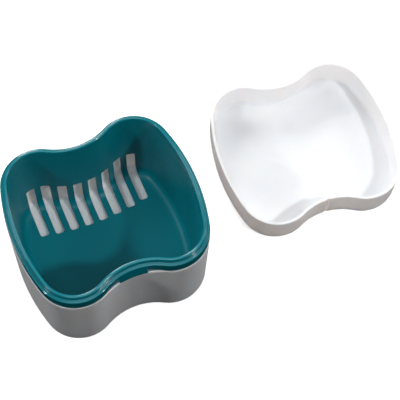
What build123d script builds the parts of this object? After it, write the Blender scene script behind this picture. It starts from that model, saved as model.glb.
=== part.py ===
from build123d import *
import math
import os

# Denture bath case: an outer tub, a strainer basket that hangs in it and a slip-on lid.
#
# All lengths are millimetres. The origin lies on the surface the case stands on, under the middle
# of the tub. +X runs across the case, +Y to its back (the slotted side of the basket), +Z up.
# The lid lies beside the tub, turned over, its open side up.

# ---- plan of the case: two rounded lobes a side, drawn in to a waist at front and back ----
case_width = 96.0        # side to side, over the tub's rim
case_depth = 86.3        # front to back, over the lobes
lobe_radius = 20.0       # rounding of the four lobes
side_bow = 3.3           # how far each side bulges past its two lobes
waist_draw = 6.4         # how far each waist is drawn in from its two lobes

# ---- tub ----
tub_height = 46.8        # table to rim
tub_wall = 1.8
tub_floor = 1.6
tub_lean = 0.8           # how far the foot is drawn in from the rim, each side
tub_foot_radius = 2.5    # outer edge of the foot
tub_floor_radius = 4.0   # inside, wall into floor
rim_edge_radius = 0.4
thumb_shelf_reach = 0.7  # how far the front rim is drawn out at the waist, under the thumb tab

# ---- strainer basket ----
basket_wall = 1.5
basket_floor = 1.3
basket_floor_gap = 0.6   # between the basket's floor and the tub's
basket_floor_radius = 5.0
basket_draft = 3.4       # degrees each wall leans outwards
collar_setback = 0.3     # the collar stands this far inside the tub's rim
collar_height = 6.5      # outer skirt of the basket that sits on the tub's rim
collar_wall = 1.2
collar_top = 1.4
collar_edge_radius = 0.55
lip_height = 2.7         # upright lip above the collar, which the lid slips over
lip_wall = 1.8
lip_edge_radius = 0.8
tab_width = 15.0         # thumb tab in the middle of the front waist
tab_reach = 1.1
tab_corner_radius = 0.8

# ---- drain slots through the basket's back wall and floor ----
slot_count = 8
slot_pitch = 8.0
slot_width = 4.8
slot_top = 22.0          # height that the slots reach on the wall
slot_floor_reach = 21.75 # how far in from the back waist the middle slots run over the floor
slot_end_bow = 130.0     # radius of the line on which the slots end
slot_end_radius = 1.4
slot_top_radius = 0.8

# ---- lid ----
lid_height = 17.2
lid_wall = 1.4
lid_top = 1.6
lid_lean = 0.3           # how far the lid's top is drawn in from its rim, each side
lid_clearance = 0.3      # between the lid's skirt and the basket's lip
lid_edge_radius = 2.0
lid_inner_radius = 1.6
lid_rim_radius = 0.3
lid_notch_width = 2.6    # thumbnail notch in the middle of the lid's front waist
lid_notch_depth = 0.5
lid_place_x = 118.0      # where the lid lies beside the tub
lid_place_y = 10.9
lid_turn = -4.9          # degrees about the vertical

waist_y = case_depth / 2 - waist_draw


def case_outline(inset, front_waist_reach=0.0):
    """The case's plan, `inset` inside the tub's rim: eight arcs, each tangent to the next.

    The lobes' circles keep their centres, so every inset is a true parallel of the rim.
    front_waist_reach moves the middle of the front waist outwards.
    """
    lobe_x = case_width / 2 - side_bow - lobe_radius
    lobe_y = case_depth / 2 - lobe_radius
    side_rise = lobe_x - case_width / 2
    side_radius = (lobe_radius**2 - side_rise**2 - lobe_y**2) / (2 * (side_rise + lobe_radius))
    side_x = case_width / 2 - side_radius

    def waist_radius(half_depth):
        rise = half_depth - lobe_y
        return (lobe_x**2 + rise**2 - lobe_radius**2) / (2 * (lobe_radius - rise))

    def on_lobe(front_or_back, toward_x, toward_y, inward):
        """Point of the right-hand lobe's arc on the line from (toward_x, toward_y)."""
        away = math.hypot(lobe_x - toward_x, front_or_back * lobe_y - toward_y)
        reach = inward * (lobe_radius - inset) / away
        return (lobe_x + (lobe_x - toward_x) * reach,
                front_or_back * lobe_y + (front_or_back * lobe_y - toward_y) * reach)

    def lobe_middle(start, end, front_or_back):
        """Point half way round the lobe's arc between its two ends."""
        across = (start[0] + end[0]) / 2 - lobe_x
        along = (start[1] + end[1]) / 2 - front_or_back * lobe_y
        reach = (lobe_radius - inset) / math.hypot(across, along)
        return (lobe_x + across * reach, front_or_back * lobe_y + along * reach)

    def left(point):
        return (-point[0], point[1])

    back_waist = waist_y
    front_waist = waist_y + front_waist_reach
    side_front = on_lobe(-1, side_x, 0, 1)
    side_back = on_lobe(1, side_x, 0, 1)
    waist_back = on_lobe(1, 0, back_waist + waist_radius(back_waist), -1)
    waist_front = on_lobe(-1, 0, -front_waist - waist_radius(front_waist), -1)
    lobe_back = lobe_middle(side_back, waist_back, 1)
    lobe_front = lobe_middle(side_front, waist_front, -1)

    with BuildSketch(Plane.XY, mode=Mode.PRIVATE) as outline:
        with BuildLine():
            ThreePointArc(side_front, (case_width / 2 - inset, 0), side_back)
            ThreePointArc(side_back, lobe_back, waist_back)
            ThreePointArc(waist_back, (0, back_waist - inset), left(waist_back))
            ThreePointArc(left(waist_back), left(lobe_back), left(side_back))
            ThreePointArc(left(side_back), (inset - case_width / 2, 0), left(side_front))
            ThreePointArc(left(side_front), left(lobe_front), left(waist_front))
            ThreePointArc(left(waist_front), (0, inset - front_waist), waist_front)
            ThreePointArc(waist_front, lobe_front, side_front)
        make_face()
    return outline.sketch


def edges_at(part, height):
    """The part's edges that lie level at this height."""
    return part.edges().filter_by_position(Axis.Z, height - 0.01, height + 0.01)


# ---- heights that follow from the sizes above ----
basket_underside = tub_floor + basket_floor_gap
basket_inside = basket_underside + basket_floor
collar_level = tub_height + collar_height
lip_level = collar_level + lip_height
lip_inset = collar_setback + lid_wall + lid_clearance
draft_slope = math.tan(math.radians(basket_draft))


def basket_inner_inset(height):
    """How far the basket's inner face stands inside the rim's outline at a height."""
    return lip_inset + lip_wall + (lip_level - height) * draft_slope


# ---- tub: drafted shell, its front rim drawn out at the waist into a shelf for the thumb tab ----
with BuildPart() as tub_cavity:
    with BuildSketch(Plane.XY.offset(tub_floor)):
        add(case_outline(tub_wall + tub_lean))
    with BuildSketch(Plane.XY.offset(tub_height)):
        add(case_outline(tub_wall))
    loft(ruled=True)
    fillet(edges_at(tub_cavity, tub_floor), tub_floor_radius)

with BuildPart() as tub:
    with BuildSketch(Plane.XY):
        add(case_outline(tub_lean))
    with BuildSketch(Plane.XY.offset(tub_height)):
        add(case_outline(0, thumb_shelf_reach))
    loft(ruled=True)
    fillet(edges_at(tub, 0), tub_foot_radius)
    fillet(edges_at(tub, tub_height), rim_edge_radius)
    add(tub_cavity.part, mode=Mode.SUBTRACT)
tub.part.label = "outer_tub"

# ---- basket: drafted shell hung from a hollow collar, with a lip for the lid ----
with BuildPart() as basket_cavity:
    with BuildSketch(Plane.XY.offset(basket_inside)):
        add(case_outline(basket_inner_inset(basket_inside)))
    with BuildSketch(Plane.XY.offset(lip_level)):
        add(case_outline(basket_inner_inset(lip_level)))
    loft(ruled=True)
    fillet(edges_at(basket_cavity, basket_inside), basket_floor_radius)

with BuildPart() as drain_slots:
    with BuildSketch(Plane.XY):
        for place in range(slot_count):
            slot_x = (place - (slot_count - 1) / 2) * slot_pitch
            end_bow = slot_end_bow - math.sqrt(slot_end_bow**2 - slot_x**2)
            with Locations((slot_x, waist_y - slot_floor_reach + end_bow)):
                RectangleRounded(slot_width, case_depth, slot_end_radius, align=(Align.CENTER, Align.MIN))
    extrude(amount=slot_top)
    fillet(edges_at(drain_slots, slot_top).filter_by(Axis.Y), slot_top_radius)

with BuildPart() as basket_body:
    with BuildSketch(Plane.XY.offset(basket_underside)):
        add(case_outline(basket_inner_inset(basket_underside) - basket_wall))
    with BuildSketch(Plane.XY.offset(collar_level)):
        add(case_outline(basket_inner_inset(collar_level) - basket_wall))
    loft(ruled=True)
    fillet(edges_at(basket_body, basket_underside), basket_floor_radius + basket_floor)

with BuildPart() as thumb_tab:
    with BuildSketch(Plane.XY.offset(tub_height)):
        add(case_outline(collar_setback, tab_reach))
    with BuildSketch(Plane.XY.offset(collar_level - collar_edge_radius)):
        add(case_outline(collar_setback))
    loft(ruled=True)
    with BuildSketch(Plane.XY.offset(tub_height)):
        with Locations((0, -waist_y)):
            Rectangle(tab_width, lobe_radius)
    extrude(amount=collar_height, mode=Mode.INTERSECT)
    tab_ends = thumb_tab.faces().filter_by(Axis.X).edges().group_by(Axis.Y)[0]
    fillet(tab_ends, tab_corner_radius)

with BuildPart() as collar:
    with BuildSketch(Plane.XY.offset(tub_height)):
        add(case_outline(collar_setback))
    extrude(amount=collar_height)
    fillet(edges_at(collar, collar_level), collar_edge_radius)
    add(thumb_tab.part)
    with BuildSketch(Plane.XY.offset(tub_height)):
        add(case_outline(collar_setback + collar_wall))
    extrude(amount=collar_height - collar_top, mode=Mode.SUBTRACT)

with BuildPart() as basket:
    add(collar.part)
    add(basket_body.part)
    with BuildSketch(Plane.XY.offset(collar_level)):
        add(case_outline(lip_inset))
    extrude(amount=lip_height)
    add(basket_cavity.part, mode=Mode.SUBTRACT)
    fillet(edges_at(basket, lip_level), min(lip_edge_radius, 0.45 * lip_wall))
    add(drain_slots.part, mode=Mode.SUBTRACT)
basket.part.label = "strainer_basket"

# ---- lid: shallow drafted cap, lying on its flat top beside the tub ----
lid_plane = Plane(origin=(lid_place_x, lid_place_y, 0),
                  x_dir=(math.cos(math.radians(lid_turn)), math.sin(math.radians(lid_turn)), 0),
                  z_dir=(0, 0, 1))
lid_inset = lip_inset - lid_clearance - lid_wall

with BuildPart() as lid_cavity:
    with BuildSketch(lid_plane.offset(lid_top)):
        add(case_outline(lid_inset + lid_wall + lid_lean))
    with BuildSketch(lid_plane.offset(lid_height)):
        add(case_outline(lid_inset + lid_wall))
    loft(ruled=True)
    fillet(edges_at(lid_cavity, lid_top), lid_inner_radius)

with BuildPart() as lid:
    with BuildSketch(lid_plane):
        add(case_outline(lid_inset + lid_lean))
    with BuildSketch(lid_plane.offset(lid_height)):
        add(case_outline(lid_inset))
    loft(ruled=True)
    fillet(edges_at(lid, 0), lid_edge_radius)
    fillet(edges_at(lid, lid_height), lid_rim_radius)
    notch_radius = (lid_notch_width**2 / 4 + lid_notch_depth**2) / (2 * lid_notch_depth)
    with BuildSketch(lid_plane):
        with Locations((0, lid_inset + lid_notch_depth - waist_y - notch_radius)):
            Circle(notch_radius)
    extrude(amount=lid_height, mode=Mode.SUBTRACT)
    add(lid_cavity.part, mode=Mode.SUBTRACT)
lid.part.label = "lid"

os.makedirs("parts", exist_ok=True)
for piece in (tub, basket, lid):
    export_step(piece.part, f"parts/{piece.part.label}.step")
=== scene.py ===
import bpy
import numpy as np
from mathutils import Matrix, Vector


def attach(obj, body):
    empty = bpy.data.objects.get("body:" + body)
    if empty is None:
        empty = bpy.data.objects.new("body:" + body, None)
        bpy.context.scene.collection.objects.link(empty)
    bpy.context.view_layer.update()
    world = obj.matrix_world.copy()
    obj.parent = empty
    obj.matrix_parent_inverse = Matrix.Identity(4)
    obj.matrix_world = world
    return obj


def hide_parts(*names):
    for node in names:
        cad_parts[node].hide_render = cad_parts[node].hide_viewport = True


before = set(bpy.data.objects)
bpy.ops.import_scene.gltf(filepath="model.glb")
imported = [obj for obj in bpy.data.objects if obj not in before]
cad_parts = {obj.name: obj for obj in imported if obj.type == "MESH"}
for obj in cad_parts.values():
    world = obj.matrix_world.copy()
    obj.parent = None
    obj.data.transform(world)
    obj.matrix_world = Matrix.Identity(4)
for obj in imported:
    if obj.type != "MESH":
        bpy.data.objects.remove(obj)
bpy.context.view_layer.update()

# ---------------------------------------------------------------------------------------------
# Outer tub. The white bath that holds the soaking liquid: one moulding in polypropylene whose
# walls lean out a little to leave the mould. It stands on its flat underside, and the front of
# its rim is drawn out into a small shelf under the basket's thumb tab.
# ---------------------------------------------------------------------------------------------
MM = 0.001
CASE_WIDTH, CASE_DEPTH = 96.0 * MM, 86.3 * MM
LOBE_RADIUS = 20.0 * MM
SIDE_BOW = 3.3 * MM
WAIST_DRAW = 6.4 * MM

TUB_HEIGHT = 46.8 * MM
TUB_WALL, TUB_FLOOR = 1.8 * MM, 1.6 * MM
TUB_LEAN = 0.8 * MM
TUB_FOOT_RADIUS = 2.5 * MM
TUB_FLOOR_RADIUS = 4.0 * MM
RIM_EDGE_RADIUS, RIM_INNER_RADIUS = 0.4 * MM, 0.25 * MM
SHELF_REACH = 0.7 * MM
EDGE_MARGIN = 0.5 * MM                       # from a rounded corner's end to the flat's own edge
SIDE_STEPS, LOBE_STEPS, WAIST_STEPS = 44, 50, 64        # columns to an arc of the plan line

lobe_x = CASE_WIDTH / 2 - SIDE_BOW - LOBE_RADIUS
lobe_y = CASE_DEPTH / 2 - LOBE_RADIUS
waist_y = CASE_DEPTH / 2 - WAIST_DRAW
side_rise = lobe_x - CASE_WIDTH / 2
side_radius = (LOBE_RADIUS**2 - side_rise**2 - lobe_y**2) / (2 * (side_rise + LOBE_RADIUS))
side_x = CASE_WIDTH / 2 - side_radius
side_turn = np.arctan2(lobe_y, lobe_x - side_x)


def waist_arc(reach):
    """Radius of a waist's hollow arc, the height of its centre over the case's middle, and the
    direction from that centre to the lobe: the arc touches both lobes' circles."""
    rise = waist_y + reach - lobe_y
    radius = (lobe_x**2 + rise**2 - LOBE_RADIUS**2) / (2 * (LOBE_RADIUS - rise))
    centre = waist_y + reach + radius
    return radius, centre, np.arctan2(lobe_y - centre, lobe_x)


def case_plan(place, inset, reach=0.0):
    """Points and outward directions on the case's plan line, `inset` inside the tub's rim.

    The line is eight arcs, each running into the next without a corner: right side, right back
    lobe, back waist, left back lobe, left side, left front lobe, front waist, right front lobe.
    `place` runs from 0 to 8, one unit to an arc. A point is its arc's centre plus the arc's
    radius at an angle that grows evenly with place. An inset shortens the bulging radii and
    lengthens the two hollow ones by itself, so every inset is parallel to the rim. `reach`
    moves the middle of the front waist outwards. The arrays broadcast against each other.
    """
    place, inset, reach = np.broadcast_arrays(np.asarray(place) % 8, inset, reach)
    back_radius, back_y, back_turn = waist_arc(0.0 * reach)
    front_radius, front_y, front_turn = waist_arc(reach)
    zero, half = 0.0 * reach, np.pi + 0.0 * reach
    side, back_meet, front_meet = side_turn + zero, back_turn + half, front_turn + half
    arcs = [
        (side_x + zero, zero, side_radius + zero, -side, side, 1),
        (lobe_x + zero, lobe_y + zero, LOBE_RADIUS + zero, side, back_meet, 1),
        (zero, back_y, back_radius, back_turn, -half - back_turn, -1),
        (-lobe_x + zero, lobe_y + zero, LOBE_RADIUS + zero, half - back_meet, half - side, 1),
        (-side_x + zero, zero, side_radius + zero, half - side, half + side, 1),
        (-lobe_x + zero, -lobe_y + zero, LOBE_RADIUS + zero, half + side, half + front_meet, 1),
        (zero, -front_y, front_radius, half + front_turn, -front_turn, -1),
        (lobe_x + zero, -lobe_y + zero, LOBE_RADIUS + zero, -front_meet, -side, 1),
    ]
    number = np.minimum(place.astype(int), 7)
    centre_x, centre_y, radius, start, end = (
        np.choose(number, [arc[part] for arc in arcs]) for part in range(5))
    bulge = np.choose(number, [arc[5] for arc in arcs])
    angle = start + (place - number) * (end - start)
    away = np.stack([np.cos(angle), np.sin(angle)], -1)
    points = np.stack([centre_x, centre_y], -1) + (radius - bulge * inset)[..., None] * away
    return points, bulge[..., None] * away


def corner_arc(inset, height, radius, start, end, steps):
    """Rows of a rounded edge: a circle of this radius about (inset, height) in the wall's
    section, from one angle to another in degrees, where 0 points inwards and 90 up."""
    turn = np.radians(np.linspace(start, end, steps + 1))
    return [(inset + radius * np.cos(a), height + radius * np.sin(a)) for a in turn]


def new_piece(name, points, faces, sharp_degrees):
    """A mesh object from points and face lists, smooth except at edges sharper than this."""
    mesh = bpy.data.meshes.new(name)
    mesh.from_pydata(points.reshape(-1, 3).tolist(), [], faces)
    mesh.polygons.foreach_set("use_smooth", np.ones(len(mesh.polygons), dtype=bool))
    mesh.set_sharp_from_angle(angle=np.radians(sharp_degrees))
    mesh.update()
    piece = bpy.data.objects.new(name, mesh)
    bpy.context.scene.collection.objects.link(piece)
    return piece


def band_faces(rows, columns):
    """Four-cornered faces between neighbouring rows of a grid whose last column meets its first.
    Face (row, column) joins the grid's points row * columns + column."""
    row, column = np.meshgrid(np.arange(rows - 1), np.arange(columns), indexing="ij")
    beside = (column + 1) % columns
    return np.stack([row * columns + column, (row + 1) * columns + column,
                     (row + 1) * columns + beside, row * columns + beside], -1)


def shell(name, points):
    """A closed shell from rows of points: they run from the inner floor's edge up the inner
    wall, over the rim and down to the underside's edge. The two flats are single faces."""
    rows, columns = points.shape[:2]
    faces = band_faces(rows, columns).reshape(-1, 4).tolist()
    faces.append(list(range(columns)))
    faces.append([(rows - 1) * columns + c for c in reversed(range(columns))])
    return new_piece(name, points, faces, 35)


def around(per_arc):
    """Places for columns all round the plan line, this many to each of the eight arcs."""
    return np.concatenate([a + np.arange(n) / n for a, n in enumerate(per_arc)])


# Noise cells to a metre, and how far light travels inside the white plastic.
DRIFT_CELLS, POLISH_CELLS, WAVE_CELLS, GRAIN_CELLS = 38.0, 420.0, 70.0, 3200.0
SCATTER_REACH, SCATTER_TINT = 4.0 * MM, (1.0, 0.86, 0.76)


def moulded_plastic(name, colour, shade, roughness, grain, waviness, gloss, glow):
    """Procedural moulded polypropylene. Broad noise drifts between the colour and its shade, as
    the melt cooled, and finer noise drifts a little in roughness. Fine noise gives the mould's
    spark-eroded grain and slow noise the faint waviness of a wall that has shrunk, both as bump.
    Where the piece's attribute `polished` is 1 a clear gloss lies over it. `gloss` is the
    strength of the shine and `glow` the share of light that scatters inside the plastic."""
    material = bpy.data.materials.new(name)
    material.use_nodes = True
    nodes, links = material.node_tree.nodes, material.node_tree.links
    shader = nodes["Principled BSDF"]
    where = nodes.new("ShaderNodeTexCoord")

    def noise(scale, detail):
        node = nodes.new("ShaderNodeTexNoise")
        node.inputs["Scale"].default_value = scale
        node.inputs["Detail"].default_value = detail
        links.new(where.outputs["Object"], node.inputs["Vector"])
        return node.outputs["Fac"]

    def bump(height, distance, under=None):
        node = nodes.new("ShaderNodeBump")
        node.inputs["Strength"].default_value = 1.0
        node.inputs["Distance"].default_value = distance
        links.new(height, node.inputs["Height"])
        if under:
            links.new(under, node.inputs["Normal"])
        return node.outputs["Normal"]

    tint = nodes.new("ShaderNodeValToRGB")
    darker, lighter = tint.color_ramp.elements
    darker.position, darker.color = 0.38, (*shade, 1)
    lighter.position, lighter.color = 0.62, (*colour, 1)
    links.new(noise(DRIFT_CELLS, 3.0), tint.inputs["Fac"])
    links.new(tint.outputs["Color"], shader.inputs["Base Color"])

    polish = nodes.new("ShaderNodeMapRange")
    polish.inputs["From Min"].default_value = 0.3
    polish.inputs["From Max"].default_value = 0.7
    polish.inputs["To Min"].default_value = 0.9 * roughness
    polish.inputs["To Max"].default_value = 1.12 * roughness
    links.new(noise(POLISH_CELLS, 4.0), polish.inputs["Value"])
    links.new(polish.outputs["Result"], shader.inputs["Roughness"])
    polished = nodes.new("ShaderNodeAttribute")
    polished.attribute_name = "polished"
    links.new(polished.outputs["Fac"], shader.inputs["Coat Weight"])
    shader.inputs["Coat Roughness"].default_value = 0.09

    waves = bump(noise(WAVE_CELLS, 1.0), waviness)
    links.new(bump(noise(GRAIN_CELLS, 2.0), grain, waves), shader.inputs["Normal"])
    shader.inputs["IOR"].default_value = 1.49
    shader.inputs["Specular IOR Level"].default_value = gloss
    shader.inputs["Subsurface Weight"].default_value = glow
    shader.inputs["Subsurface Radius"].default_value = SCATTER_TINT
    shader.inputs["Subsurface Scale"].default_value = SCATTER_REACH
    return material


tub_tilt = np.arctan2(TUB_LEAN, TUB_HEIGHT - TUB_FLOOR)
inner_foot = TUB_FLOOR + TUB_FLOOR_RADIUS
inner_foot_inset = (TUB_WALL + TUB_LEAN - TUB_FLOOR_RADIUS * np.tan(tub_tilt)
                    + TUB_FLOOR_RADIUS / np.cos(tub_tilt))
outer_foot_inset = (TUB_LEAN * (1 - TUB_FOOT_RADIUS / TUB_HEIGHT) + TUB_FOOT_RADIUS)
wall_turn = 180 - np.degrees(tub_tilt)
tub_rows = [(inner_foot_inset + EDGE_MARGIN, TUB_FLOOR)]
tub_rows += corner_arc(inner_foot_inset, inner_foot, TUB_FLOOR_RADIUS, -90, -wall_turn, 10)
tub_rows += [(TUB_WALL + TUB_LEAN * (1 - t), TUB_FLOOR + t * (TUB_HEIGHT - TUB_FLOOR))
             for t in (0.25, 0.5, 0.75)]
tub_rows += corner_arc(TUB_WALL - RIM_INNER_RADIUS, TUB_HEIGHT - RIM_INNER_RADIUS,
                       RIM_INNER_RADIUS, 0, 90, 3)
rim_row = len(tub_rows)
tub_rows += corner_arc(RIM_EDGE_RADIUS, TUB_HEIGHT - RIM_EDGE_RADIUS, RIM_EDGE_RADIUS, 90, 180, 6)
tub_rows += [(TUB_LEAN * (1 - t), t * TUB_HEIGHT) for t in (0.93, 0.8, 0.6, 0.4, 0.2)]
tub_rows += corner_arc(outer_foot_inset, TUB_FOOT_RADIUS, TUB_FOOT_RADIUS, -wall_turn, -90, 10)
tub_rows += [(outer_foot_inset + EDGE_MARGIN, 0.0)]
tub_inset, tub_height = np.array(tub_rows).T[:, :, None]
outside = (np.arange(len(tub_rows)) >= rim_row)[:, None]
tub_plan, _ = case_plan(around(2 * [SIDE_STEPS, LOBE_STEPS, WAIST_STEPS, LOBE_STEPS]), tub_inset,
                        SHELF_REACH * outside * tub_height / TUB_HEIGHT)
tub = shell("tub", np.concatenate(
    [tub_plan, np.broadcast_to(tub_height[..., None], tub_plan[..., :1].shape)], -1))
tub.data.materials.append(moulded_plastic(
    "white_polypropylene", colour=(0.85, 0.837, 0.845), shade=(0.83, 0.817, 0.825),
    roughness=0.42, grain=0.006 * MM, waviness=0.06 * MM, gloss=0.5, glow=1.0))
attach(tub, "tub")
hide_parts("outer_tub")

# ---------------------------------------------------------------------------------------------
# Strainer basket. The dark teal basket that lifts the denture out of the liquid: one moulding
# that hangs on the tub's rim by a hollow collar. A lip above the collar takes the lid, a thumb
# tab stands out at the front waist, and eight slots through back wall and floor let it drain.
# ---------------------------------------------------------------------------------------------
BASKET_WALL, BASKET_FLOOR = 1.5 * MM, 1.3 * MM
BASKET_FLOOR_GAP = 0.6 * MM
BASKET_FLOOR_RADIUS = 5.0 * MM
BASKET_DRAFT = np.radians(3.4)
COLLAR_SETBACK, COLLAR_HEIGHT = 0.3 * MM, 6.5 * MM
COLLAR_WALL, COLLAR_TOP = 1.2 * MM, 1.4 * MM
COLLAR_EDGE_RADIUS = 0.55 * MM
LIP_HEIGHT, LIP_WALL = 2.7 * MM, 1.8 * MM
LIP_EDGE_RADIUS = 0.8 * MM
LID_WALL, LID_CLEARANCE = 1.4 * MM, 0.3 * MM
TAB_WIDTH, TAB_REACH = 15.0 * MM, 1.1 * MM
TAB_CORNER_RADIUS = 0.8 * MM
FOOT_NIB, POCKET_ROOT = 0.15 * MM, 0.25 * MM            # small radii at the skirt and its pocket
SLOT_COUNT, SLOT_PITCH, SLOT_WIDTH = 8, 8.0 * MM, 4.8 * MM
SLOT_TOP, SLOT_TOP_RADIUS = 22.0 * MM, 0.8 * MM
SLOT_FLOOR_REACH, SLOT_END_BOW = 21.75 * MM, 130.0 * MM
SLOT_END_RADIUS = 1.4 * MM
SLOT_FIELD = 31.0 * MM                       # half the width in which columns keep their x
BROKEN_EDGE = 0.14 * MM
JOIN_STEPS, TAB_SIDE_STEPS = 18, 12          # columns from field to side, and from lobe to tab

basket_underside = TUB_FLOOR + BASKET_FLOOR_GAP
basket_inside = basket_underside + BASKET_FLOOR
collar_level = TUB_HEIGHT + COLLAR_HEIGHT
lip_level = collar_level + LIP_HEIGHT
lip_inset = COLLAR_SETBACK + LID_WALL + LID_CLEARANCE
slot_shoulder = SLOT_TOP - SLOT_TOP_RADIUS
slot_band = SLOT_TOP + 3.0 * MM


def basket_inner(height):
    """How far the basket's inner face stands inside the rim's line at a height."""
    return lip_inset + LIP_WALL + (lip_level - height) * np.tan(BASKET_DRAFT)


def floor_corner(foot_inset, level, radius, steps):
    """Rows of a rounded corner between a floor at `level` and a wall of the basket's draft that
    would meet it at foot_inset, from the floor up to the wall."""
    inset = foot_inset - radius * np.tan(BASKET_DRAFT) + radius / np.cos(BASKET_DRAFT)
    return corner_arc(inset, level + radius, radius, -90, -180 + np.degrees(BASKET_DRAFT), steps)


def place_at_x(x, inset):
    """Place of the point on the plan line's back, at this inset, that has this x. On the waist's
    arc the angle's cosine is x over the arc's radius; beyond the point where the arcs meet, it is
    x past the lobe's centre over the lobe's radius. The left half mirrors the right."""
    waist_radius, _, waist_turn = waist_arc(0.0)
    meet = waist_turn + np.pi
    across = np.abs(x)
    lobe_place = 1 + (np.arccos(np.clip((across - lobe_x) / (LOBE_RADIUS - inset), -1, 1))
                      - side_turn) / (meet - side_turn)
    waist_place = 2 + (-np.arccos(np.clip(across / (waist_radius + inset), -1, 1))
                       - waist_turn) / (-np.pi - 2 * waist_turn)
    on_waist = across < lobe_x + (LOBE_RADIUS - inset) * np.cos(meet)
    place = np.where(on_waist, waist_place, lobe_place)
    return np.where(x >= 0, place, 5 - place)


# Columns: across the slotted field of the back wall each keeps its x, from right to left, and
# lies on a slot's edge where there is one; round the rest of the case each keeps its place.
slot_x = (np.arange(SLOT_COUNT) - (SLOT_COUNT - 1) / 2) * SLOT_PITCH
edge_steps = SLOT_TOP_RADIUS * (1 - np.cos(np.radians([0, 30, 60, 90])))
slot_steps = np.concatenate([-SLOT_WIDTH / 2 + edge_steps, [-0.4 * MM, 0.4 * MM],
                             (SLOT_WIDTH / 2 - edge_steps)[::-1]])
bar_steps = SLOT_WIDTH / 2 + (SLOT_PITCH - SLOT_WIDTH) * np.array([0.17, 0.39, 0.61, 0.83])
field_x = np.unique(np.round(np.concatenate([
    (slot_x[:, None] + slot_steps).ravel(), (slot_x[:-1, None] + bar_steps).ravel(),
    [-SLOT_FIELD, SLOT_FIELD]]), 9))[::-1]
tab_edge = TAB_WIDTH / 2
tab_steps = TAB_CORNER_RADIUS * (1 - np.cos(np.radians([0, 20, 40, 60, 90])))


def place_at_front(x):
    """Place on the front waist's arc, at the collar's line, that has this x: the arc's angle is
    the one whose cosine is x over its radius."""
    radius, _, turn = waist_arc(0.0)
    angle = np.arccos(x / (radius + COLLAR_SETBACK))
    return 6 + (np.pi + turn - angle) / (np.pi + 2 * turn)


half_tab = np.concatenate([np.linspace(0, tab_edge - TAB_CORNER_RADIUS, 8),
                           tab_edge - tab_steps[3::-1],
                           [tab_edge + 0.06 * MM, tab_edge + 0.6 * MM]])
tab_x = np.concatenate([-half_tab[:0:-1], half_tab])
tab_places = place_at_front(tab_x)
waist_left = np.linspace(6, tab_places[0], TAB_SIDE_STEPS, endpoint=False)
waist_right = np.linspace(tab_places[-1], 7, TAB_SIDE_STEPS + 1)[1:]
front_places = np.concatenate([
    4 + np.arange(SIDE_STEPS) / SIDE_STEPS, 5 + np.arange(LOBE_STEPS) / LOBE_STEPS,
    waist_left, tab_places, waist_right,
    7 + np.arange(1, LOBE_STEPS + 1) / LOBE_STEPS, 8 + np.arange(1, SIDE_STEPS) / SIDE_STEPS])


def basket_places(inset):
    """Place of every column for each row's inset: the slotted field by x, then even steps to the
    left side's arc, the fixed places round the front, and even steps back to the field."""
    field = place_at_x(field_x, inset)
    left, right = field[:, -1:], field[:, :1] + 8
    share = np.arange(JOIN_STEPS) / JOIN_STEPS
    return np.concatenate([field, left + (4 - left) * share[1:],
                           np.broadcast_to(front_places, (len(field), len(front_places))),
                           9 + (right - 9) * share[:-1]], 1)


upper_share = np.linspace(0, 1, 5)[1:-1]
inner_floor_rows = floor_corner(basket_inner(basket_inside), basket_inside, BASKET_FLOOR_RADIUS, 12)
outer_floor_rows = floor_corner(basket_inner(basket_underside) - BASKET_WALL, basket_underside,
                                BASKET_FLOOR_RADIUS + BASKET_FLOOR, 12)
low_wall = np.linspace(inner_floor_rows[-1][1], slot_shoulder, 5)[1:]
low_back = np.linspace(outer_floor_rows[-1][1], slot_shoulder, 5)[1:]
band = slot_band + (slot_shoulder - slot_band) * upper_share[::-1]
high_wall = np.linspace(slot_band, lip_level - LIP_EDGE_RADIUS, 7)[:-1]
lip_centre = lip_level - LIP_EDGE_RADIUS
lip_turn = np.degrees(BASKET_DRAFT)
lip_middle = (basket_inner(lip_centre + LIP_EDGE_RADIUS * np.sin(BASKET_DRAFT))
              - LIP_EDGE_RADIUS * np.cos(BASKET_DRAFT))
pocket_top = collar_level - COLLAR_TOP
pocket_inset = COLLAR_SETBACK + COLLAR_WALL
skirt = np.linspace(collar_level - COLLAR_EDGE_RADIUS, TUB_HEIGHT + FOOT_NIB, 6)[1:-1]
high_back = np.linspace(pocket_top - POCKET_ROOT, slot_band, 7)[1:]

inner_rows = [(inner_floor_rows[0][0] + EDGE_MARGIN, basket_inside)] + inner_floor_rows
inner_rows += [(basket_inner(z), z) for z in (*low_wall, *band, *high_wall)]
rim_rows = corner_arc(lip_middle, lip_centre, LIP_EDGE_RADIUS, lip_turn, 90, 8)
rim_rows += corner_arc(lip_inset + LIP_EDGE_RADIUS, lip_centre, LIP_EDGE_RADIUS, 90, 180, 8)
rim_rows += corner_arc(lip_inset - POCKET_ROOT, collar_level + POCKET_ROOT, POCKET_ROOT, 0, -90, 3)
rim_rows += corner_arc(COLLAR_SETBACK + COLLAR_EDGE_RADIUS, collar_level - COLLAR_EDGE_RADIUS,
                       COLLAR_EDGE_RADIUS, 90, 180, 7)
skirt_start = len(inner_rows) + len(rim_rows) - 1
rim_rows += [(COLLAR_SETBACK, z) for z in skirt]
rim_rows += corner_arc(COLLAR_SETBACK + FOOT_NIB, TUB_HEIGHT + FOOT_NIB, FOOT_NIB, 180, 270, 3)
skirt_end = len(inner_rows) + len(rim_rows)
rim_rows += corner_arc(pocket_inset - FOOT_NIB, TUB_HEIGHT + FOOT_NIB, FOOT_NIB, -90, 0, 3)
rim_rows += corner_arc(pocket_inset + POCKET_ROOT, pocket_top - POCKET_ROOT, POCKET_ROOT,
                       180, 90, 3)
rim_rows += corner_arc(basket_inner(pocket_top - POCKET_ROOT) - BASKET_WALL - POCKET_ROOT,
                       pocket_top - POCKET_ROOT, POCKET_ROOT, 90, 0, 3)
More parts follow.
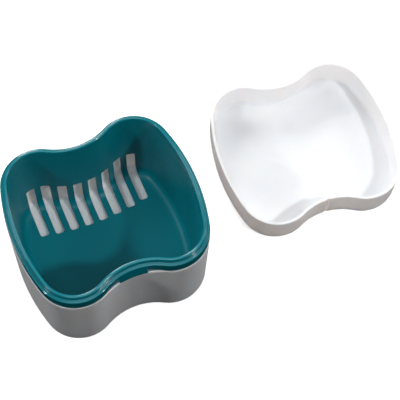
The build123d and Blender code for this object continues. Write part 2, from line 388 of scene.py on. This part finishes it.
outer_rows = [(basket_inner(z) - BASKET_WALL, z)
              for z in (*high_back, *band[::-1], slot_shoulder, *low_back[-2::-1])]
outer_rows += outer_floor_rows[::-1]
outer_rows += [(outer_floor_rows[0][0] + EDGE_MARGIN, basket_underside)]
rows = np.array(inner_rows + rim_rows + outer_rows)
last = len(rows) - 1
shoulder = len(inner_floor_rows) + len(low_wall)
row_inset, row_height = rows[:, :1] + 0 * field_x[0], rows[:, 1:]
columns = basket_places(row_inset).shape[1]
inset = np.repeat(row_inset, columns, 1)
height = np.repeat(row_height, columns, 1)

# The rows above the slots' shoulders rise into the slots' rounded tops: within a slot's width
# the last of them follows the slot's edge, and the rows over it share out the rest.
from_edge = SLOT_WIDTH / 2 - np.abs(field_x[:, None] - slot_x).min(1)
in_slot = from_edge > 1e-7
dip = SLOT_TOP_RADIUS - np.clip(from_edge, 0, SLOT_TOP_RADIUS)
slot_crown = np.where(in_slot, slot_shoulder + np.sqrt(SLOT_TOP_RADIUS**2 - dip**2), slot_shoulder)
upper = np.arange(len(band) + 1)
field = np.arange(len(field_x))
rise = slot_band + (slot_crown - slot_band) * np.linspace(1, 0, len(band) + 2)[:-1, None]
height[np.ix_(shoulder + upper, field)] = rise
inset[np.ix_(shoulder + upper, field)] = basket_inner(rise)
height[np.ix_(last - shoulder - upper, field)] = rise
inset[np.ix_(last - shoulder - upper, field)] = basket_inner(rise) - BASKET_WALL

basket_plan, _ = case_plan(basket_places(inset[:, :len(field_x)]), inset)
points = np.concatenate([basket_plan, height[..., None]], -1)

# The thumb tab pushes the collar's skirt forward: by as much as the waist's arc moves when its
# middle is drawn out, most at the foot and nothing at the top, with rounded ends.
skirt_rows = np.arange(skirt_start, skirt_end)
tab_start = len(field_x) + JOIN_STEPS - 1 + SIDE_STEPS + LOBE_STEPS + TAB_SIDE_STEPS
tab_columns = tab_start + np.arange(len(tab_x))
tab = points[np.ix_(skirt_rows, tab_columns)]
tab_top = collar_level - COLLAR_EDGE_RADIUS
slope = np.clip((tab_top - tab[..., 2]) / (tab_top - TUB_HEIGHT), 0, 1) * TAB_REACH
flat_radius, flat_y, _ = waist_arc(0.0)
bowed_radius, bowed_y, _ = waist_arc(slope)
lift = (bowed_y - np.sqrt((bowed_radius + COLLAR_SETBACK)**2 - tab[..., 0]**2)
        - flat_y + np.sqrt((flat_radius + COLLAR_SETBACK)**2 - tab[..., 0]**2))
depth = np.clip(tab_edge - np.abs(tab_x), 0, TAB_CORNER_RADIUS)
corner = np.sqrt(TAB_CORNER_RADIUS**2 - (TAB_CORNER_RADIUS - depth)**2) - TAB_CORNER_RADIUS
lift = np.where(np.abs(tab_x) <= tab_edge + 1e-9, np.maximum(lift + corner, 0), 0)
points[np.ix_(skirt_rows, tab_columns, [1])] -= lift[..., None]

# Slots: faces below the shoulder rows are left out between a slot's two edges. On both floors
# the slot runs on as a notch with a rounded end, and a wall joins the two outlines.
faces = band_faces(len(rows), columns)
open_column = np.zeros(columns, dtype=bool)
open_column[:len(field_x) - 1] = in_slot[:-1] | in_slot[1:]
low_row = (np.arange(len(rows) - 1) < shoulder) | (np.arange(len(rows) - 1) >= last - shoulder)
faces = faces[~(low_row[:, None] & open_column)].tolist()

end_turn = np.radians(np.linspace(0, 90, 6))
end_x = SLOT_WIDTH / 2 - SLOT_END_RADIUS * (1 - np.cos(end_turn))
end_y = SLOT_END_RADIUS * (1 - np.sin(end_turn))
notch = np.stack([np.append(end_x, -end_x[::-1]), np.append(end_y, end_y[::-1])], -1)
notch_start = waist_y - SLOT_FLOOR_REACH + SLOT_END_BOW - np.sqrt(SLOT_END_BOW**2 - slot_x**2)
notch = notch + np.stack([slot_x, notch_start], -1)[::-1, None]
levels = np.array([basket_inside, basket_underside])[:, None, None, None]
notches = np.concatenate([np.broadcast_to(notch, (2, *notch.shape)),
                          np.broadcast_to(levels, (2, *notch.shape[:2], 1))], -1)
grid_size = len(rows) * columns
notch_index = grid_size + np.arange(notches[..., 0].size).reshape(notches.shape[:3])
right_edges = np.searchsorted(-field_x, -(slot_x[::-1] + SLOT_WIDTH / 2 + 1e-8))
left_edges = np.searchsorted(-field_x, -(slot_x[::-1] - SLOT_WIDTH / 2 + 1e-8))


def floor_outline(row, notch_rows):
    """Point numbers round one of the two floors, dipping into each slot's notch on the way."""
    outline, column = [], 0
    for right, left, around_notch in zip(right_edges, left_edges, notch_rows):
        outline += list(range(row * columns + column, row * columns + right + 1))
        outline += around_notch.tolist()
        column = left
    return outline + list(range(row * columns + column, (row + 1) * columns))


faces.append(floor_outline(0, notch_index[0]))
faces.append(floor_outline(last, notch_index[1])[::-1])
rows_up = np.arange(shoulder + 1)
slot_rims = []
for right, left, inner_notch, outer_notch in zip(right_edges, left_edges, *notch_index):
    inner = np.concatenate([inner_notch, rows_up * columns + left,
                            shoulder * columns + np.arange(left - 1, right, -1),
                            rows_up[::-1] * columns + right])
    outer = np.concatenate([outer_notch, (last - rows_up) * columns + left,
                            (last - shoulder) * columns + np.arange(left - 1, right, -1),
                            (last - rows_up[::-1]) * columns + right])
    faces += np.stack([inner, outer, np.roll(outer, -1), np.roll(inner, -1)], -1).tolist()
    slot_rims += [inner, outer]
points = np.concatenate([points.reshape(-1, 3), notches.reshape(-1, 3)])
used, numbers = np.unique(np.concatenate([np.array(f) for f in faces]), return_inverse=True)
ends = np.cumsum([len(f) for f in faces])[:-1]
faces = [f.tolist() for f in np.split(numbers, ends)]
basket = new_piece("strainer", points[used], faces, 40)

# The slots' sharp edges are broken by a small rounded bevel, as moulded edges are.
pairs = np.concatenate([np.stack([rim, np.roll(rim, -1)], -1) for rim in slot_rims])
pairs = np.sort(np.searchsorted(used, pairs), 1)
edges = np.zeros(2 * len(basket.data.edges), dtype=int)
basket.data.edges.foreach_get("vertices", edges)
edges = np.sort(edges.reshape(-1, 2), 1)
many = len(used)
on_rim = np.isin(edges[:, 0] * many + edges[:, 1], pairs[:, 0] * many + pairs[:, 1])
weight = basket.data.attributes.new("bevel_weight_edge", "FLOAT", "EDGE")
weight.data.foreach_set("value", on_rim.astype(np.float32))
sharp = basket.data.attributes["sharp_edge"]
was_sharp = np.zeros(len(edges), dtype=bool)
sharp.data.foreach_get("value", was_sharp)
sharp.data.foreach_set("value", was_sharp & ~on_rim)

# The lip and the collar's outside were polished in the mould: 1 on their rows and 0 elsewhere.
row_of_point = used // columns
on_lip = (row_of_point >= len(inner_rows)) & (row_of_point < skirt_end)
polished = basket.data.attributes.new("polished", "FLOAT", "POINT")
polished.data.foreach_set("value", on_lip.astype(np.float32))
broken = basket.modifiers.new("broken_edges", "BEVEL")
broken.limit_method = "WEIGHT"
broken.width, broken.segments = BROKEN_EDGE, 2
broken.harden_normals = True
basket.data.materials.append(moulded_plastic(
    "teal_polypropylene", colour=(0.0, 0.163, 0.204), shade=(0.0, 0.155, 0.194),
    roughness=0.36, grain=0.0004 * MM, waviness=0.03 * MM, gloss=0.2, glow=0.0))
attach(basket, "basket")
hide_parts("strainer_basket")

# ---------------------------------------------------------------------------------------------
# Lid. A shallow white cap in the same plastic as the tub, which slips over the basket's lip. It
# lies taken off beside the tub, on its flat top with its open side up. A small thumbnail notch
# runs down the outside of its skirt in the middle of the front waist.
# ---------------------------------------------------------------------------------------------
LID_HEIGHT, LID_TOP = 17.2 * MM, 1.6 * MM
LID_LEAN = 0.3 * MM
LID_EDGE_RADIUS, LID_INNER_RADIUS, LID_RIM_RADIUS = 2.0 * MM, 1.6 * MM, 0.3 * MM
NOTCH_WIDTH, NOTCH_DEPTH = 2.6 * MM, 0.5 * MM
NOTCH_SIDE_STEPS = 26
NOTCH_MARGIN = 1 / 1.3                       # a column each side of the notch, in notch widths
LID_PLACE, LID_TURN = (118.0 * MM, 10.9 * MM), np.radians(-4.9)

lid_tilt = np.arctan2(LID_LEAN, LID_HEIGHT)
lid_turn = 180 - np.degrees(lid_tilt)
lid_inner_foot = (COLLAR_SETBACK + LID_WALL + LID_LEAN - LID_INNER_RADIUS * np.tan(lid_tilt)
                  + LID_INNER_RADIUS / np.cos(lid_tilt))
lid_foot = COLLAR_SETBACK + LID_LEAN * (1 - LID_EDGE_RADIUS / LID_HEIGHT) + LID_EDGE_RADIUS
lid_rows = [(lid_inner_foot + EDGE_MARGIN, LID_TOP)]
lid_rows += corner_arc(lid_inner_foot, LID_TOP + LID_INNER_RADIUS, LID_INNER_RADIUS,
                       -90, -lid_turn, 8)
lid_rows += [(COLLAR_SETBACK + LID_WALL + LID_LEAN * (1 - t), LID_TOP + t * (LID_HEIGHT - LID_TOP))
             for t in (0.35, 0.6, 0.8)]
lid_rim = LID_HEIGHT - LID_RIM_RADIUS
lid_rows += corner_arc(COLLAR_SETBACK + LID_WALL - LID_RIM_RADIUS, lid_rim, LID_RIM_RADIUS,
                       0, 90, 5)
lid_skirt = len(lid_rows)
lid_rows += corner_arc(COLLAR_SETBACK + LID_RIM_RADIUS, lid_rim, LID_RIM_RADIUS, 90, 180, 5)
lid_rows += [(COLLAR_SETBACK + LID_LEAN * (1 - t), t * LID_HEIGHT) for t in (0.8, 0.6, 0.4, 0.2)]
lid_rows += corner_arc(lid_foot, LID_EDGE_RADIUS, LID_EDGE_RADIUS, -lid_turn, -90, 8)
lid_rows += [(lid_foot + EDGE_MARGIN, 0.0)]
lid_inset, lid_height = np.array(lid_rows).T[:, :, None]
notch_radius = (NOTCH_WIDTH**2 / 4 + NOTCH_DEPTH**2) / (2 * NOTCH_DEPTH)
notch_x = NOTCH_WIDTH * np.concatenate([[-NOTCH_MARGIN], np.linspace(-0.5, 0.5, 15),
                                        [NOTCH_MARGIN]])
notch_places = place_at_front(notch_x)
lid_places = np.concatenate([
    around([SIDE_STEPS, LOBE_STEPS, WAIST_STEPS, LOBE_STEPS, SIDE_STEPS, LOBE_STEPS]),
    np.linspace(6, notch_places[0], NOTCH_SIDE_STEPS, endpoint=False), notch_places,
    np.linspace(notch_places[-1], 7, NOTCH_SIDE_STEPS + 1)[1:-1],
    7 + np.arange(LOBE_STEPS) / LOBE_STEPS])
lid_plan, lid_away = case_plan(lid_places, lid_inset)
notch_cut = (np.sqrt(np.clip(notch_radius**2 - lid_plan[..., 0]**2, 0, None))
             - (notch_radius - NOTCH_DEPTH))
at_notch = (lid_places > 6) & (lid_places < 7) & (np.arange(len(lid_rows)) >= lid_skirt)[:, None]
lid_plan -= np.where(at_notch, np.maximum(notch_cut, 0), 0)[..., None] * lid_away
turned = lid_plan @ np.array([[np.cos(LID_TURN), np.sin(LID_TURN)],
                              [-np.sin(LID_TURN), np.cos(LID_TURN)]]) + LID_PLACE
lid = shell("cap", np.concatenate(
    [turned, np.broadcast_to(lid_height[..., None], turned[..., :1].shape)], -1))
lid.data.materials.append(tub.data.materials[0])
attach(lid, "lid")
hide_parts("lid")

# ---------------------------------------------------------------------------------------------
# Table. A plain white sheet on which the case and its lid lie. It glows a little, so that it
# stays pale in their shade, and it throws no light back on to the plastic.
# ---------------------------------------------------------------------------------------------
TABLE_REACH = 3.0
table_mesh = bpy.data.meshes.new("table")
table_mesh.from_pydata([(-TABLE_REACH, -TABLE_REACH, 0), (TABLE_REACH, -TABLE_REACH, 0),
                        (TABLE_REACH, TABLE_REACH, 0), (-TABLE_REACH, TABLE_REACH, 0)],
                       [], [(0, 1, 2, 3)])
table = bpy.data.objects.new("table", table_mesh)
bpy.context.scene.collection.objects.link(table)
paper = bpy.data.materials.new("white_paper")
paper.use_nodes = True
paper_shader = paper.node_tree.nodes["Principled BSDF"]
paper_shader.inputs["Base Color"].default_value = (0.86, 0.86, 0.86, 1)
paper_shader.inputs["Roughness"].default_value = 0.8
paper_shader.inputs["Emission Color"].default_value = (1, 1, 1, 1)
paper_shader.inputs["Emission Strength"].default_value = 0.55
table_mesh.materials.append(paper)
table.visible_diffuse = False
table.visible_glossy = False

# ---------------------------------------------------------------------------------------------
# Studio lights. Two small keys, from the front right and from the left, draw the soft-edged
# shadows inside the case; wide dim panels behind, beside and overhead light the walls and glow
# through the white plastic. The room is a plain pale backdrop that gives no light itself.
# ---------------------------------------------------------------------------------------------
TUB_MIDDLE, BOTH_MIDDLE = (0.0, 0.0, 30.0 * MM), (55.0 * MM, 0.0, 20.0 * MM)


def soft_box(name, turn, rise, distance, across, power, aim):
    """A round area light that looks at `aim`, from `turn` degrees round from +X and `rise`
    degrees up."""
    light = bpy.data.lights.new(name, "AREA")
    light.shape, light.size, light.energy = "DISK", across, power
    box = bpy.data.objects.new(name, light)
    turn, rise = np.radians(turn), np.radians(rise)
    away = Vector((np.cos(turn) * np.cos(rise), np.sin(turn) * np.cos(rise), np.sin(rise)))
    box.location = Vector(aim) + distance * away
    box.rotation_euler = (-away).to_track_quat("-Z", "Y").to_euler()
    bpy.context.scene.collection.objects.link(box)


soft_box("key_right", 312, 48.5, 1.2, 0.09, 6.0, TUB_MIDDLE)
soft_box("key_left", 181, 42.6, 1.2, 0.09, 4.6, TUB_MIDDLE)
soft_box("panel_behind", 90, 28, 1.0, 0.3, 5.8, BOTH_MIDDLE)
soft_box("panel_behind_right", 25, 24, 1.0, 0.3, 2.0, BOTH_MIDDLE)
soft_box("panel_right", 350, 35, 1.0, 0.3, 1.8, BOTH_MIDDLE)
soft_box("panel_left", 150, 38, 1.0, 0.3, 1.8, BOTH_MIDDLE)
soft_box("panel_high", 240, 75, 1.0, 0.5, 2.2, BOTH_MIDDLE)
soft_box("panel_overhead", 60, 75, 1.0, 0.5, 0.35, BOTH_MIDDLE)

room = bpy.data.worlds.new("room")
bpy.context.scene.world = room
room.use_nodes = True
room.node_tree.nodes["Background"].inputs["Color"].default_value = (1, 1, 1, 1)
room.node_tree.nodes["Background"].inputs["Strength"].default_value = 0.62
room.cycles_visibility.diffuse = False
room.cycles_visibility.glossy = False
room.cycles_visibility.transmission = False
room.cycles_visibility.scatter = False
bpy.context.scene.view_settings.view_transform = "Standard"

# ---------------------------------------------------------------------------------------------
# Camera. It looks down steeply from the front, a little from the left, and leans to the left.
# ---------------------------------------------------------------------------------------------
CAMERA_TURN, CAMERA_RISE, CAMERA_LEAN = np.radians((-27.62, 64.74, 4.62))
CAMERA_PLACE = (-0.07405, -0.24100, 0.59428)
FOCAL_PIXELS, PICTURE_PIXELS = 1220.6, 400
camera = bpy.data.cameras.new("camera")
camera.lens = FOCAL_PIXELS / PICTURE_PIXELS * camera.sensor_width
eye = bpy.data.objects.new("camera", camera)
eye.matrix_world = (Matrix.Translation(CAMERA_PLACE) @ Matrix.Rotation(CAMERA_TURN, 4, "Z")
                    @ Matrix.Rotation(np.pi / 2 - CAMERA_RISE, 4, "X")
                    @ Matrix.Rotation(CAMERA_LEAN, 4, "Z"))
bpy.context.scene.collection.objects.link(eye)
bpy.context.scene.camera = eye
